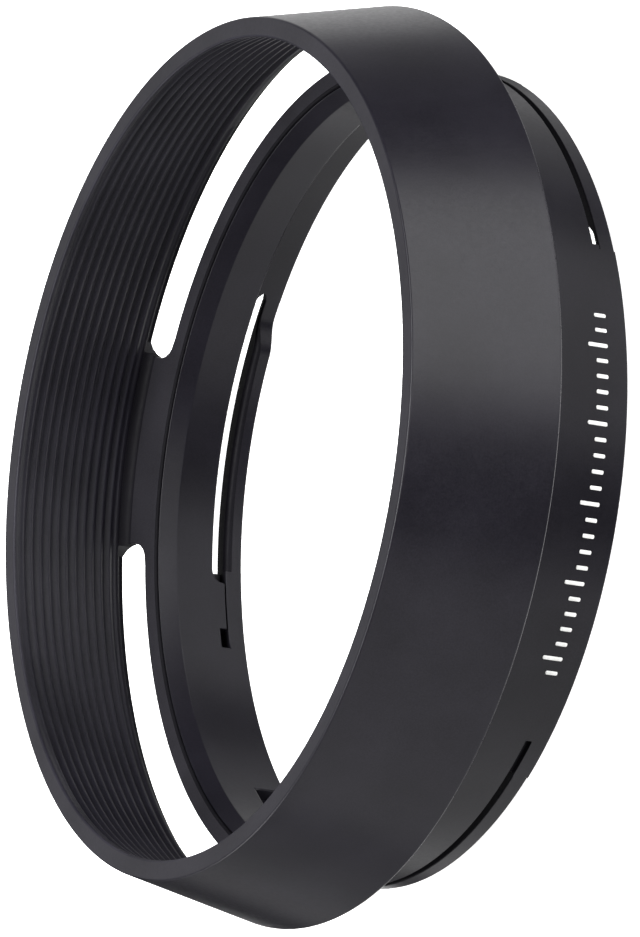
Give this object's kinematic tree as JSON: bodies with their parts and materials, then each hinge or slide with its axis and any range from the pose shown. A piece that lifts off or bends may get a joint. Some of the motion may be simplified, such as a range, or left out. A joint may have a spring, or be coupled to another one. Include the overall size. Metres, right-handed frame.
{
  "type": "lens hood",
  "caption": "Vented bayonet lens hood: flared shade with threaded light baffles, dished vent ring with kidney windows, and a slotted bayonet ring with sprung lugs.",
  "frame": {"origin": "centre of the rear face, on the optical axis, where the hood stands on a table", "axes": "+Z along the optical axis towards the front opening; +X is the direction that angles are counted from, towards +Y; the printed index marks are centred near +X"},
  "size_m": [0.0602, 0.0602, 0.0163],
  "materials": {
    "black_anodised": "satin black anodised over fine bead blasting",
    "white_print": "matt white printed paint"
  },
  "bodies": {
    "hood": {"shade": "black_anodised", "vent_ring": "black_anodised", "bayonet_ring": "black_anodised", "index_marks": "white_print"},
    "arm_1": {"spring_arm_1": "black_anodised"},
    "arm_2": {"spring_arm_2": "black_anodised"},
    "arm_3": {"spring_arm_3": "black_anodised"}
  },
  "joints": [
    {"name": "arm_1_flex", "type": "slide", "parent": "hood", "child": "arm_1", "axis": [0, 0, -1], "range_m": [0, 0.00015], "stiffness_N_per_m": 300000},
    {"name": "arm_2_flex", "type": "slide", "parent": "hood", "child": "arm_2", "axis": [0, 0, -1], "range_m": [0, 0.00015], "stiffness_N_per_m": 300000},
    {"name": "arm_3_flex", "type": "slide", "parent": "hood", "child": "arm_3", "axis": [0, 0, -1], "range_m": [0, 0.00015], "stiffness_N_per_m": 300000}
  ]
}
